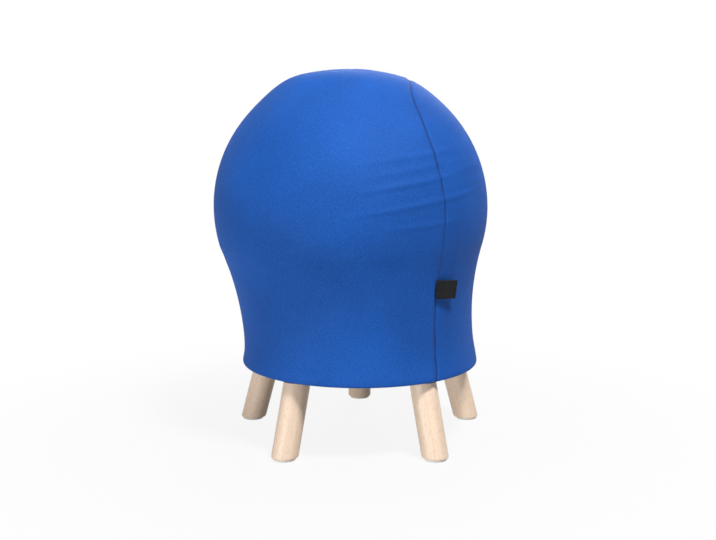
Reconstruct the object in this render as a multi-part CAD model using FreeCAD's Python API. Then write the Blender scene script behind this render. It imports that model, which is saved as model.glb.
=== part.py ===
import FreeCAD, Part
import math
import os

from FreeCAD import Placement, Rotation, Vector

# Ball stool: a fabric covered sitting ball on a moulded ring base with five splayed wooden legs.
# Units are millimetres. The origin is on the floor under the centre of the ball, +Z is up, and the
# front of the stool, with the label to the right of the middle, faces -Y.
# Angles round the stool are counted from the front (-Y) towards the right (+X).

# Driving sizes of the ball and its cover
cover_radius = 225.0
cover_thickness = 3.0
soft_gap = 0.3
ball_wall = 1.6
join_elevation = -16.3

# Height of the deck that the ball stands on, and how far the base reaches below it
deck_height = 157.0
base_depth = 36.0

# The fabric below the ball: a waist, a flare over the rim of the base, and a hem turned under it
waist_inset = 33.2
waist_rise = 45.0
flare_radius = 220.0
hem_corner = 6.0
hem_round = 0.3
hem_turn = 2.9
lower_band_rise = 73.0
lean_start_rise = 13.0

# The ball sits a little to the left of the middle of its base
base_shift = 15.2

# Moulded base
shell_wall = 3.0
shell_shoulder = 7.0
deck_clearance = 3.5
flange_width = 10.0
flange_height = 4.0
rib_count = 10
rib_thickness = 2.5
rib_depth = 20.0
hub_radius = 22.0
socket_wall = 2.0
socket_drop = 2.5
socket_clearance = 0.3
socket_to_rim = 5.2

# Legs
leg_count = 5
first_leg_angle = 36.0
leg_diameter = 42.0
leg_splay = 15.7
leg_top_depth = 18.0
leg_edge_bevel = 3.0

# Glides and fasteners
glide_diameter = 36.0
glide_thickness = 3.0
glide_edge = 0.8
nail_diameter = 2.6
nail_length = 16.0
nail_in_glide = 1.2
bolt_diameter = 8.0
bolt_in_leg = 36.0
bolt_tip_room = 1.0
insert_across_flats = 11.0
insert_length = 9.0
fit_clearance = 0.1

# Elastic inside the hem
elastic_height = 1.2
elastic_width = 2.6
elastic_inset = 2.8

# Valve of the ball, at the lower back
valve_elevation = -48.0
valve_angle = 180.0
valve_boss_diameter = 22.0
valve_boss_depth = 8.0
plug_diameter = 8.0
plug_length = 12.0
plug_head_diameter = 13.0
plug_head_height = 1.6
plug_taper = 0.6

# Label sewn into the side seam
label_width = 40.0
label_height = 30.0
label_thickness = 1.0
label_drop = 50.0
label_droop = 4.0
label_tilt = 12.0
seam_angle = 38.0

# How finely the fabric is divided, outside and on its hidden inner side
outer_column_count = 72
outer_row_count = 36
column_count = 36
row_count = 18
hollow_column_count = 20
hollow_row_count = 10
lower_band_count = 3
middle_band_count = 4
inner_band_count = 2

leg_names = ["front_right", "right", "back", "left", "front_left"]

# Sizes that follow from the driving ones
full_turn = 360.0
quarter_turn = full_turn / 4
hexagon_side_count = 6
waist_radius = cover_radius - waist_inset
ball_radius = cover_radius - cover_thickness - soft_gap
ball_centre_height = deck_height + soft_gap + ball_radius
join_height = ball_centre_height + cover_radius * math.sin(math.radians(join_elevation))
hem_height = deck_height - base_depth
rim_height = hem_height + hem_corner
waist_height = rim_height + waist_rise
lower_top_height = rim_height + lower_band_rise
lean_start_height = rim_height + lean_start_rise
label_middle_height = join_height - label_drop
leg_top_height = deck_height - leg_top_depth
socket_end_height = hem_height - socket_drop
flange_bottom = hem_height + cover_thickness + soft_gap
base_axis = Vector(base_shift, 0, 0)
up = Vector(0, 0, 1)
splay = math.radians(leg_splay)
leg_inset = leg_diameter / 2 + socket_clearance + socket_wall + socket_to_rim


# Helpers


def save(name, shape):
    """Write one node, a single solid or a group of separate solids."""
    if not shape.isValid():
        raise ValueError(name + " is not a valid solid")
    shape.exportStep(os.path.join("parts", name + ".step"))
    print(name, len(shape.Solids), "solids", round(shape.Volume / 1000.0, 2), "cm3")


def heading(angle):
    """Unit vector at an angle round the stool, from the front towards the right."""
    turn = math.radians(angle)
    return Vector(math.sin(turn), -math.cos(turn), 0)


def flats_inside(radius):
    """Radius of the circle that just fits inside a ring of flats whose corners lie on the radius."""
    return radius * math.cos(math.pi / column_count)


def ring_of_flats(middle, radius, count=column_count):
    """A level polygon about a point, turned alike at every height."""
    corners = [middle + heading(full_turn * step / count) * radius for step in range(count)]
    return Part.makePolygon(corners + corners[:1])


def solid_ring(points, axis_point):
    """Revolve a closed outline of (radius, height) corners once round an upright axis."""
    corners = [axis_point + Vector(radius, 0, height) for radius, height in points]
    outline = Part.makePolygon(corners + corners[:1])
    return Part.Face(outline).revolve(axis_point, up, full_turn)


def ball_point(radius, elevation, angle):
    """A point on a sphere about the middle of the ball."""
    rise = math.radians(elevation)
    level = heading(angle) * (radius * math.cos(rise))
    return level + Vector(0, 0, ball_centre_height + radius * math.sin(rise))


def faceted_ball(radius, columns, rows):
    """A sphere drawn with flat facets, its corners on the radius."""
    faces = []
    for row in range(rows):
        low = full_turn / 2 * (row / rows - 0.5)
        high = low + full_turn / 2 / rows
        for column in range(columns):
            left = full_turn * column / columns
            right = left + full_turn / columns
            corners = [ball_point(radius, low, left)]
            if row > 0:
                corners.append(ball_point(radius, low, right))
            corners.append(ball_point(radius, high, right))
            if row < rows - 1:
                corners.append(ball_point(radius, high, left))
            faces.append(Part.Face(Part.makePolygon(corners + corners[:1])))
    return Part.Solid(Part.Shell(faces))


def slab(bottom, top):
    """Everything between two heights, wider than the stool."""
    reach = 2 * cover_radius
    return Part.makeBox(2 * reach, 2 * reach, top - bottom, Vector(-reach, -reach, bottom))


# Outline of the fabric below the ball


def fabric_radius(height):
    """Outer radius of the fabric: a flare below the waist, and above it an arc that meets the ball."""
    join_radius = cover_radius * math.cos(math.radians(join_elevation))
    rise = join_height - waist_height
    growth = join_radius - waist_radius
    sweep_radius = (rise**2 + growth**2) / (2 * growth)
    radius = sweep_radius if height > waist_height else flare_radius
    return waist_radius + radius - math.sqrt(radius**2 - (height - waist_height) ** 2)


def fabric_middle(height):
    """The fabric's middle moves from the base's axis to the ball's axis as it rises."""
    share = (height - lean_start_height) / (join_height - lean_start_height)
    share = min(max(share, 0.0), 1.0)
    return base_shift * (1.0 - share)


def rim_radius():
    """Radius of the base's rim, just inside the fabric's flats."""
    return flats_inside(fabric_radius(rim_height) - cover_thickness) - soft_gap


def fabric_point(height, angle):
    """A point on the fabric's outer side."""
    return Vector(fabric_middle(height), 0, height) + heading(angle) * fabric_radius(height)


def even_steps(bottom, top, count):
    """Values from bottom to top with a number of even spaces."""
    return [bottom + (top - bottom) * step / count for step in range(count + 1)]


def outer_ring(height):
    """One level ring of the fabric's outer side."""
    return ring_of_flats(Vector(fabric_middle(height), 0, height), fabric_radius(height), outer_column_count)


def inner_ring(height):
    """The fabric's hidden inner side at a height."""
    middle = Vector(fabric_middle(height), 0, height)
    return ring_of_flats(middle, fabric_radius(height) - cover_thickness)


def inner_side(bottom, top):
    """The space inside a band of the fabric."""
    rings = [inner_ring(height) for height in even_steps(bottom, top, inner_band_count)]
    return Part.makeLoft(rings, True, True)


# Cover


def hem_inner_edge():
    """Corner radius of the flats where the turned hem ends under the rim."""
    return (rim_radius() - hem_turn) / math.cos(math.pi / column_count)


def elastic_ring(clearance):
    """The flat elastic in the turned part of the hem, or its channel when a clearance is given."""
    outer = fabric_radius(rim_height) - elastic_inset + clearance
    inner = outer - elastic_width - 2 * clearance
    height = elastic_height + 2 * clearance
    low = base_axis + up * (hem_height + (cover_thickness - height) / 2)
    high = low + up * height
    whole = Part.makeLoft([ring_of_flats(low, outer), ring_of_flats(high, outer)], True, True)
    middle = Part.makeLoft([ring_of_flats(low, inner), ring_of_flats(high, inner)], True, True)
    return whole.cut(middle)


def make_cover_lower():
    """Lowest band of the fabric. Its hem turns under the rim of the base and holds the elastic."""
    corner = rim_height - hem_height
    edge = fabric_radius(rim_height)
    turned = [(0.0, corner), (corner * hem_round, corner * hem_round)]
    rings = []
    for rise, inset in turned:
        rings.append(ring_of_flats(base_axis + up * (hem_height + rise), edge - inset, outer_column_count))
    rings += [outer_ring(height) for height in even_steps(rim_height, lower_top_height, lower_band_count)]
    outside = Part.makeLoft(rings, True, True)
    inside = inner_side(hem_height + cover_thickness, lower_top_height)
    mouth = [ring_of_flats(base_axis + up * height, hem_inner_edge()) for height in (hem_height, rim_height)]
    return outside.cut(inside).cut(Part.makeLoft(mouth, True, True)).cut(elastic_ring(fit_clearance))


def make_cover_middle():
    """Middle band of the fabric, from above the waist to where it meets the ball."""
    rings = [outer_ring(height) for height in even_steps(lower_top_height, join_height, middle_band_count)]
    return Part.makeLoft(rings, True, True).cut(inner_side(lower_top_height, join_height))


def make_cover_top():
    """The fabric over the ball: round outside, with an inner side that follows the ball."""
    outside = faceted_ball(cover_radius, outer_column_count, outer_row_count)
    outside = outside.common(slab(join_height, ball_centre_height + 2 * cover_radius))
    return outside.cut(faceted_ball(ball_radius + soft_gap, column_count, row_count))


# Ball


def valve_axis():
    """Where the valve's axis leaves the ball, and its outward direction."""
    middle = Vector(0, 0, ball_centre_height)
    outward = ball_point(ball_radius, valve_elevation, valve_angle) - middle
    outward.normalize()
    return middle, outward


def make_ball():
    """The inflated ball: a thin shell with a thick boss round the valve."""
    middle, outward = valve_axis()
    skin = faceted_ball(ball_radius, column_count, row_count)
    hollow = faceted_ball(ball_radius - ball_wall, hollow_column_count, hollow_row_count)
    boss_start = middle + outward * (ball_radius - ball_wall - valve_boss_depth)
    boss = Part.makeCylinder(valve_boss_diameter / 2, 2 * valve_boss_depth, boss_start, outward)
    bore = Part.makeCylinder(plug_diameter / 2 + fit_clearance, 2 * plug_length, boss_start, outward)
    return skin.cut(hollow.cut(boss)).cut(bore)


def make_valve_plug():
    """The plug of the valve: a tapered stem under a flat head that lies on the ball."""
    middle, outward = valve_axis()
    seat = middle + outward * (ball_radius + fit_clearance)
    stem = Part.makeCone(
        plug_diameter / 2 - plug_taper, plug_diameter / 2, plug_length, seat - outward * plug_length, outward
    )
    head = Part.makeCylinder(plug_head_diameter / 2, plug_head_height, seat, outward)
    return stem.fuse(head).removeSplitter()


# Label


def make_label():
    """The woven label, flat, standing a little away from the fabric towards its free right-hand edge."""
    low = fabric_point(label_middle_height - label_height / 2, seam_angle)
    high = fabric_point(label_middle_height + label_height / 2, seam_angle)
    along = heading(seam_angle + quarter_turn - label_tilt)
    rise = high - low
    rise.normalize()
    inward = rise.cross(along)
    body = Part.makeBox(label_width, label_thickness, label_height)
    start = low - inward * (label_thickness + soft_gap)
    body.Placement = Placement(start, Rotation(along, inward, rise, "ZXY"))
    body.rotate(low, inward, label_droop)
    return body


# Legs, glides and fasteners


def leg_heading(index):
    """Angle of one leg round the base."""
    return first_leg_angle + index * full_turn / leg_count


def leg_axis(index):
    """Where a leg's axis meets the floor, and the unit vector up the leg, set in from the rim."""
    outward = heading(leg_heading(index))
    foot = base_axis + outward * (rim_radius() - leg_inset + flange_bottom * math.tan(splay))
    direction = up * math.cos(splay) - outward * math.sin(splay)
    return foot, direction


def along_leg(height):
    """Distance from the floor along a leg's axis to a height."""
    return height / math.cos(splay)


def nail_bore(index, extra):
    """The nail that is moulded into a glide, or its hole in the leg when extra is given."""
    start = leg_axis(index)[0] + up * nail_in_glide
    return Part.makeCylinder(nail_diameter / 2 + extra, nail_length, start, up)


def make_leg(index):
    """A round beech leg, cut level and bevelled at the foot, square at the top, with a bolt hole."""
    foot, direction = leg_axis(index)
    length = along_leg(leg_top_height)
    below = 2 * leg_diameter
    blank = Part.makeCylinder(leg_diameter / 2, length + below, foot - direction * below, direction)
    leg = blank.common(slab(glide_thickness, 2 * leg_top_height))
    foot_edges = [edge for edge in leg.Edges if edge.BoundBox.ZMax < glide_thickness + leg_edge_bevel]
    leg = leg.makeChamfer(leg_edge_bevel, foot_edges)
    top = foot + direction * length
    hole_depth = bolt_in_leg + bolt_tip_room
    hole_start = top - direction * hole_depth
    hole = Part.makeCylinder(bolt_diameter / 2 + fit_clearance, 2 * hole_depth, hole_start, direction)
    return leg.cut(hole).cut(nail_bore(index, fit_clearance))


def make_glide(index):
    """A thin plastic glide under a leg, moulded round the foot of its nail."""
    disc = Part.makeCylinder(glide_diameter / 2, glide_thickness, leg_axis(index)[0], up)
    low_edges = [edge for edge in disc.Edges if edge.BoundBox.ZMax < glide_edge / 2]
    return disc.makeChamfer(glide_edge, low_edges).cut(nail_bore(index, 0.0))


def make_hanger_bolt(index):
    """The bolt that joins a leg to its insert."""
    foot, direction = leg_axis(index)
    start = foot + direction * (along_leg(leg_top_height) - bolt_in_leg)
    return Part.makeCylinder(bolt_diameter / 2, bolt_in_leg + insert_length, start, direction)


def insert_start(index):
    """Lower end of the threaded insert, on the floor of the socket."""
    foot, direction = leg_axis(index)
    return foot + direction * (along_leg(leg_top_height) + socket_clearance), direction


def insert_blank(index):
    """The outside of an insert, a hexagonal bar along the leg's axis."""
    start, direction = insert_start(index)
    corner = insert_across_flats / math.sqrt(3.0)
    level = direction.cross(heading(leg_heading(index)))
    level.normalize()
    other = direction.cross(level)
    corners = []
    for step in range(hexagon_side_count):
        turn = math.radians(full_turn * step / hexagon_side_count)
        corners.append(start + level * (corner * math.cos(turn)) + other * (corner * math.sin(turn)))
    return Part.Face(Part.makePolygon(corners + corners[:1])).extrude(direction * insert_length)


def make_insert(index):
    """A six-sided brass insert moulded into the floor of a leg socket."""
    start, direction = insert_start(index)
    body = insert_blank(index)
    bore = Part.makeCylinder(bolt_diameter / 2 + fit_clearance, insert_length, start, direction)
    return body.cut(bore)


# Moulded base


def deck_radius():
    """Radius of the deck, clear of the fabric that leans over it."""
    lean = base_shift - fabric_middle(deck_height)
    return flats_inside(fabric_radius(deck_height) - cover_thickness) - lean - deck_clearance


def make_deck():
    """The inverted tray: flat deck, bevelled shoulder, sloping wall and a flange round the rim."""
    rim = rim_radius()
    top = deck_radius()
    under = deck_height - shell_wall
    outline = [
        (0, deck_height),
        (top - shell_shoulder, deck_height),
        (top, deck_height - shell_shoulder),
        (rim, flange_bottom + flange_height),
        (rim, flange_bottom),
        (rim - flange_width, flange_bottom),
        (rim - flange_width, flange_bottom + flange_height),
        (rim - shell_wall, flange_bottom + flange_height),
        (top - shell_wall, deck_height - shell_shoulder - shell_wall / 2),
        (top - shell_shoulder - shell_wall / 2, under),
        (0, under),
    ]
    return solid_ring(outline, base_axis)


def make_ribs():
    """Straight ribs under the deck and a hub in the middle."""
    top = deck_height - shell_wall / 2
    bottom = deck_height - shell_wall - rib_depth
    reach = deck_radius() - shell_wall / 2
    ribs = []
    for index in range(rib_count):
        rib = Part.makeBox(reach, rib_thickness, top - bottom, Vector(0, -rib_thickness / 2, bottom))
        angle = first_leg_angle - quarter_turn + index * full_turn / rib_count
        rib.rotate(Vector(0, 0, 0), up, angle)
        rib.translate(base_axis)
        ribs.append(rib)
    hub = Part.makeCylinder(hub_radius, top - bottom, base_axis + up * bottom, up)
    hub_bore = Part.makeCylinder(hub_radius - shell_wall, rib_depth, base_axis + up * bottom, up)
    return ribs + [hub], hub_bore


def make_socket(index):
    """Outside of one leg socket, leaning with the leg and trimmed under the deck."""
    foot, direction = leg_axis(index)
    radius = leg_diameter / 2 + socket_clearance + socket_wall
    start = foot + direction * (along_leg(socket_end_height) - radius)
    tube = Part.makeCylinder(radius, 2 * leg_top_height, start, direction)
    return tube.common(slab(socket_end_height, deck_height - shell_wall / 2))


def make_socket_bore(index):
    """The space for the leg and its insert inside a socket."""
    foot, direction = leg_axis(index)
    bore_radius = leg_diameter / 2 + socket_clearance
    bore = Part.makeCylinder(bore_radius, along_leg(leg_top_height) + socket_clearance, foot, direction)
    return bore.fuse(insert_blank(index))


def make_base_shell():
    """The whole moulding: tray, ribs and five angled sockets in one piece."""
    ribs, hub_bore = make_ribs()
    sockets = [make_socket(index) for index in range(leg_count)]
    shell = make_deck().multiFuse(ribs + sockets)
    bores = [make_socket_bore(index) for index in range(leg_count)]
    return shell.cut(Part.makeCompound(bores + [hub_bore])).removeSplitter()


# Build every node


os.makedirs("parts", exist_ok=True)
save("base_shell", make_base_shell())
save("cover_lower", make_cover_lower())
save("cover_middle", make_cover_middle())
save("cover_top", make_cover_top())
save("hem_elastic", elastic_ring(0.0))
save("seat_ball", make_ball())
save("valve_plug", make_valve_plug())
save("label_tab", make_label())
for number, name in enumerate(leg_names):
    save("leg_" + name, make_leg(number))
everyone = range(leg_count)
save("glides", Part.makeCompound([make_glide(index) for index in everyone]))
save("hanger_bolts", Part.makeCompound([make_hanger_bolt(index) for index in everyone]))
save("threaded_inserts", Part.makeCompound([make_insert(index) for index in everyone]))
save("glide_nails", Part.makeCompound([nail_bore(index, 0.0) for index in everyone]))
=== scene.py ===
"""Ball stool: a sitting ball in a stretch knit cover on a moulded base with five beech legs."""

import math

import bmesh
import bpy
import numpy as np
from bpy.props import FloatProperty, FloatVectorProperty, IntProperty, PointerProperty
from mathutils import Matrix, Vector


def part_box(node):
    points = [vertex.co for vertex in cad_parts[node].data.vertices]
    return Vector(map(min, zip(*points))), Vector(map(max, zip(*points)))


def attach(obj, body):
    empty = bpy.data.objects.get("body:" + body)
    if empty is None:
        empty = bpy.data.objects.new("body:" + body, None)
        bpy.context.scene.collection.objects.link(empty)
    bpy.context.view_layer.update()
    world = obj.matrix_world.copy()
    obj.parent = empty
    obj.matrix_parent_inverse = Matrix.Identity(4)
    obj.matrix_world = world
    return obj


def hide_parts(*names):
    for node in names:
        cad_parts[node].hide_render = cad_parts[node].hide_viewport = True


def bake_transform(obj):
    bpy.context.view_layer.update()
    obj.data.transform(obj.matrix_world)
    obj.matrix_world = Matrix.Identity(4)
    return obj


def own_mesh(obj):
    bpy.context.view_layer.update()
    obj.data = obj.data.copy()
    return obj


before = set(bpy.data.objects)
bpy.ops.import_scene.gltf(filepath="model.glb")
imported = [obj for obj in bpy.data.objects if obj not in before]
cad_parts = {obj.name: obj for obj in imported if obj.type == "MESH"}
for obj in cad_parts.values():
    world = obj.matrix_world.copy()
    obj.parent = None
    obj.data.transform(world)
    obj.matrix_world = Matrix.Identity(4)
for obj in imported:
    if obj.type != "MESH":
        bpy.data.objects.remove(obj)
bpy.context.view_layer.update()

bl_info = {
    "name": "Ball stool",
    "version": (1, 0, 0),
    "blender": (4, 5, 0),
    "location": "3D View > Sidebar > Ball stool",
    "description": "Makes the pieces of a fabric covered ball stool",
    "category": "Add Mesh",
}

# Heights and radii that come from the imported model, in metres
hem_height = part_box("cover_lower")[0][2]
lower_top_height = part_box("cover_lower")[1][2]
join_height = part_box("cover_middle")[1][2]
cover_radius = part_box("cover_top")[1][0]
ball_centre_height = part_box("cover_top")[1][2] - cover_radius
ball_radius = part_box("seat_ball")[1][0]
ball_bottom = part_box("seat_ball")[0][2]
ball_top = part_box("seat_ball")[1][2]
leg_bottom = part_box("leg_back")[0][2]

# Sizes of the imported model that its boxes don't give
glide_radius = 0.018
foot_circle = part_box("glides")[1][1] - glide_radius
leg_top_height = 0.139
base_shift = 0.0152

# How far above the rim the waist lies, and where the cover starts to lean towards the ball
waist_rise = 0.045
lean_rise = 0.013

# The dome's small departures from a sphere, by distance from the upright line through the ball
shoulder_swell = 0.0042
shoulder_slant = 0.0014
shoulder_radius = 0.100
shoulder_width = 0.038
top_flatness = 0.0015
top_width = 0.060

# The cover's grid: how far in and how high the rows inside the hem lie, and each part's rows
hem_turn_in = ((0.0105, 0.0030), (0.0105, 0.0012), (0.0098, 0.0003), (0.0085, 0.0))
hem_edge_steps = 6
skirt_rows = 26
waist_rows = 40
dome_rows = 150

# Lengths that the cloth's own coordinates are measured by
cloth_girth = 1.375
cloth_height = 0.75
crease_circle_radius = 0.21

leg_nodes = ("leg_front_right", "leg_right", "leg_back", "leg_left", "leg_front_left")

# The seam as (angle from the front towards the right in degrees, height): up the front right,
# past the top on the right, round behind it and down the back
seam_route = (
    (36.9, 0.121),
    (37.3, 0.140),
    (38.3, 0.184),
    (39.0, 0.250),
    (40.0, 0.293),
    (39.2, 0.334),
    (38.9, 0.364),
    (38.9, 0.391),
    (38.2, 0.423),
    (37.5, 0.455),
    (37.3, 0.485),
    (37.5, 0.506),
    (38.6, 0.527),
    (40.6, 0.546),
    (46.0, 0.5625),
    (57.0, 0.5745),
    (72.0, 0.5815),
    (90.0, 0.5832),
    (120.0, 0.5835),
    (150.0, 0.5825),
    (180.0, 0.577),
    (202.0, 0.562),
    (212.0, 0.535),
    (217.0, 0.490),
    (218.5, 0.430),
    (218.5, 0.340),
    (218.5, 0.250),
    (218.5, 0.184),
    (218.0, 0.121),
)

# Faint pull creases: (angle, height, slope, length, width, depth). Most lie right of the middle.
pull_creases = (
    (30.0, 0.3645, 0.09, 0.110, 0.0045, 0.0009),
    (32.0, 0.3980, 0.16, 0.200, 0.0043, 0.0013),
    (25.0, 0.4260, 0.16, 0.155, 0.0042, 0.0013),
    (24.0, 0.4450, 0.16, 0.120, 0.0040, 0.0009),
    (29.0, 0.4660, 0.13, 0.165, 0.0042, 0.0013),
    (60.0, 0.4480, 0.10, 0.090, 0.0045, 0.0009),
    (62.0, 0.4270, 0.10, 0.080, 0.0045, 0.0008),
    (-36.0, 0.300, -0.30, 0.120, 0.0090, 0.0007),
    (-64.0, 0.270, -0.35, 0.110, 0.0100, 0.0007),
)


# Sizes and colours that a user may change


class CoverSettings(bpy.types.PropertyGroup):
    """The knit cover."""

    columns: IntProperty(name="Columns", description="Points round the cover", default=480, min=72)
    waist_radius: FloatProperty(
        name="Waist", description="Radius of the cover at its waist", default=0.1918, unit="LENGTH"
    )
    flare_radius: FloatProperty(
        name="Flare", description="Radius of the curve below the waist", default=0.220, unit="LENGTH"
    )
    hem_corner: FloatProperty(
        name="Hem height", description="Height of the rim above the lower edge", default=0.006, unit="LENGTH"
    )
    hem_edge: FloatProperty(
        name="Hem edge", description="Radius of the turned lower edge", default=0.0032, unit="LENGTH"
    )
    seam_depth: FloatProperty(
        name="Seam depth", description="How far the seam sinks in", default=0.0013, unit="LENGTH"
    )
    thread: FloatVectorProperty(
        name="Knit", description="Colour of the knit", default=(0.010, 0.116, 0.515), subtype="COLOR"
    )
    dark_thread: FloatVectorProperty(
        name="Dark thread",
        description="Colour between the loops",
        default=(0.004, 0.046, 0.225),
        subtype="COLOR",
    )
    stitch_pitch: FloatProperty(
        name="Stitch pitch", description="Distance from stitch to stitch", default=0.0032, unit="LENGTH"
    )


class LegSettings(bpy.types.PropertyGroup):
    """The beech legs."""

    count: IntProperty(name="Legs", description="Number of legs", default=5, min=3)
    diameter: FloatProperty(name="Diameter", description="Thickness of a leg", default=0.042, unit="LENGTH")
    splay: FloatProperty(
        name="Splay", description="Lean of a leg", default=math.radians(15.7), subtype="ANGLE"
    )
    first_angle: FloatProperty(
        name="First leg", description="Angle of the first leg", default=math.radians(36.0), subtype="ANGLE"
    )
    foot_radius: FloatProperty(
        name="Foot circle", description="Radius of the circle of feet", default=foot_circle, unit="LENGTH"
    )
    edge: FloatProperty(name="Edge", description="Rounding of the foot", default=0.003, unit="LENGTH")
    wood: FloatVectorProperty(
        name="Beech", description="Colour of the wood", default=(0.88, 0.69, 0.53), subtype="COLOR"
    )
    grain: FloatVectorProperty(
        name="Grain", description="Colour of the grain", default=(0.74, 0.545, 0.395), subtype="COLOR"
    )


class LabelSettings(bpy.types.PropertyGroup):
    """The woven label in the seam."""

    width: FloatProperty(name="Width", description="How far it stands out", default=0.037, unit="LENGTH")
    height: FloatProperty(name="Height", description="Height of the label", default=0.030, unit="LENGTH")
    droop: FloatProperty(
        name="Droop", description="Slope of the label", default=math.radians(4.0), subtype="ANGLE"
    )
    tilt: FloatProperty(
        name="Tilt", description="How far it stands off", default=math.radians(10.0), subtype="ANGLE"
    )
    weave: FloatVectorProperty(
        name="Weave", description="Colour of the label", default=(0.0055, 0.0055, 0.0075), subtype="COLOR"
    )


class BallSettings(bpy.types.PropertyGroup):
    """The ball inside the cover."""

    side_room: FloatProperty(
        name="Side room",
        description="How much narrower the ball is than its cover's inside",
        default=0.002,
        unit="LENGTH",
    )
    waist_room: FloatProperty(
        name="Waist room",
        description="How much more it gives way where the cover leaves it",
        default=0.0065,
        unit="LENGTH",
    )
    vinyl: FloatVectorProperty(
        name="Vinyl", description="Colour of the ball", default=(0.20, 0.22, 0.25), subtype="COLOR"
    )
    plug: FloatVectorProperty(
        name="Plug", description="Colour of the valve plug", default=(0.80, 0.80, 0.77), subtype="COLOR"
    )


class BaseSettings(bpy.types.PropertyGroup):
    """The base and its fittings."""

    plastic: FloatVectorProperty(
        name="Plastic", description="Colour of the moulding", default=(0.016, 0.016, 0.018), subtype="COLOR"
    )
    glide: FloatVectorProperty(
        name="Glide", description="Colour of the glides", default=(0.78, 0.77, 0.73), subtype="COLOR"
    )


class StageSettings(bpy.types.PropertyGroup):
    """The floor, the light and the camera."""

    key_power: FloatProperty(name="Key", description="Power of the main lamp", default=84.0, unit="POWER")
    fill_power: FloatProperty(name="Fill", description="Power of the soft lamp", default=42.0, unit="POWER")
    back_power: FloatProperty(name="Back", description="Power of the lamp behind", default=34.0, unit="POWER")
    sky: FloatProperty(name="Sky", description="Strength of the light from all round", default=0.05, min=0.0)
    lens: FloatProperty(name="Lens", description="Focal length in millimetres", default=47.97)


settings_groups = {
    "stool_cover": CoverSettings,
    "stool_legs": LegSettings,
    "stool_label": LabelSettings,
    "stool_ball": BallSettings,
    "stool_base": BaseSettings,
    "stool_stage": StageSettings,
}


# Meshes and objects


def new_object(name, data):
    """Put a mesh, lamp or camera into the scene."""
    made = bpy.data.objects.new(name, data)
    bpy.context.scene.collection.objects.link(made)
    return made


def mesh_from(name, points, faces, normals=None):
    """A smooth mesh from points and faces, with given normals where it meets a neighbour."""
    mesh = bpy.data.meshes.new(name)
    mesh.from_pydata([tuple(point) for point in points], [], [tuple(face) for face in faces])
    mesh.update()
    mesh.polygons.foreach_set("use_smooth", [True] * len(mesh.polygons))
    if normals is not None:
        mesh.normals_split_custom_set_from_vertices([tuple(normal) for normal in normals])
    return mesh


def add_point_values(mesh, name, values):
    """Store one number, or three, at each point of a mesh."""
    values = np.asarray(values, np.float32)
    kind, field = ("FLOAT", "value") if values.ndim == 1 else ("FLOAT_VECTOR", "vector")
    attribute = mesh.attributes.new(name, kind, "POINT")
    attribute.data.foreach_set(field, values.ravel())


def turn_faces_out(mesh):
    """Point every face outwards."""
    work = bmesh.new()
    work.from_mesh(mesh)
    bmesh.ops.recalc_face_normals(work, faces=work.faces)
    work.to_mesh(mesh)
    work.free()


def ring_faces(size, rings):
    """Faces between rings that follow one another, each of as many points as size says."""
    faces = []
    for ring in range(rings - 1):
        low = ring * size
        for step in range(size):
            right = (step + 1) % size
            faces.append((low + step, low + right, low + size + right, low + size + step))
    return faces


def closed_ring_faces(size, rings):
    """The same, with a face across the first ring and one across the last."""
    last = (rings - 1) * size
    return ring_faces(size, rings) + [tuple(range(size))[::-1], tuple(range(last, last + size))]


def fan_faces(size, start, tip):
    """Faces from the ring that begins at one point up to the tip."""
    return [(start + step, start + (step + 1) % size, tip) for step in range(size)]


def round_points(middle, side, other, radius, count):
    """Points of a circle that two directions span."""
    turns = [2.0 * math.pi * step / count for step in range(count)]
    return [middle + (side * math.cos(turn) + other * math.sin(turn)) * radius for turn in turns]


def heading(angle):
    """Level direction at an angle in radians, from the front towards the right."""
    return Vector((math.sin(angle), -math.cos(angle), 0.0))


def smooth_step(low, high, value):
    """0 below low, 1 above high and a smooth rise between."""
    share = np.clip((value - low) / (high - low), 0.0, 1.0)
    return share * share * (3.0 - 2.0 * share)


# Materials


class NodeMaker:
    """Adds nodes to a tree and joins them."""

    def __init__(self, tree):
        self.tree = tree

    def node(self, kind, settings=None, **inputs):
        """Add a node. Inputs are values or outputs of nodes, by name or as i and a number."""
        made = self.tree.nodes.new(kind)
        for name, value in (settings or {}).items():
            setattr(made, name, value)
        for name, value in inputs.items():
            key = int(name[1:]) if name[0] == "i" and name[1:].isdigit() else name.replace("_", " ")
            self.put(made.inputs[key], value)
        return made

    def put(self, socket, value):
        """Give a socket a value or a link."""
        if isinstance(value, bpy.types.NodeSocket):
            self.tree.links.new(value, socket)
        else:
            socket.default_value = value

    def sum(self, kind, first, second=0.0, third=0.0):
        """One arithmetic step."""
        made = self.node("ShaderNodeMath", {"operation": kind}, i0=first, i1=second, i2=third)
        return made.outputs[0]

    def looked_at(self):
        """1 where the camera, a reflection or glass shows it, 0 for the light that it gives."""
        path = self.node("ShaderNodeLightPath")
        seen = self.sum("MAXIMUM", path.outputs["Is Camera Ray"], path.outputs["Is Glossy Ray"])
        return self.sum("MAXIMUM", seen, path.outputs["Is Transmission Ray"])


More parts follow.
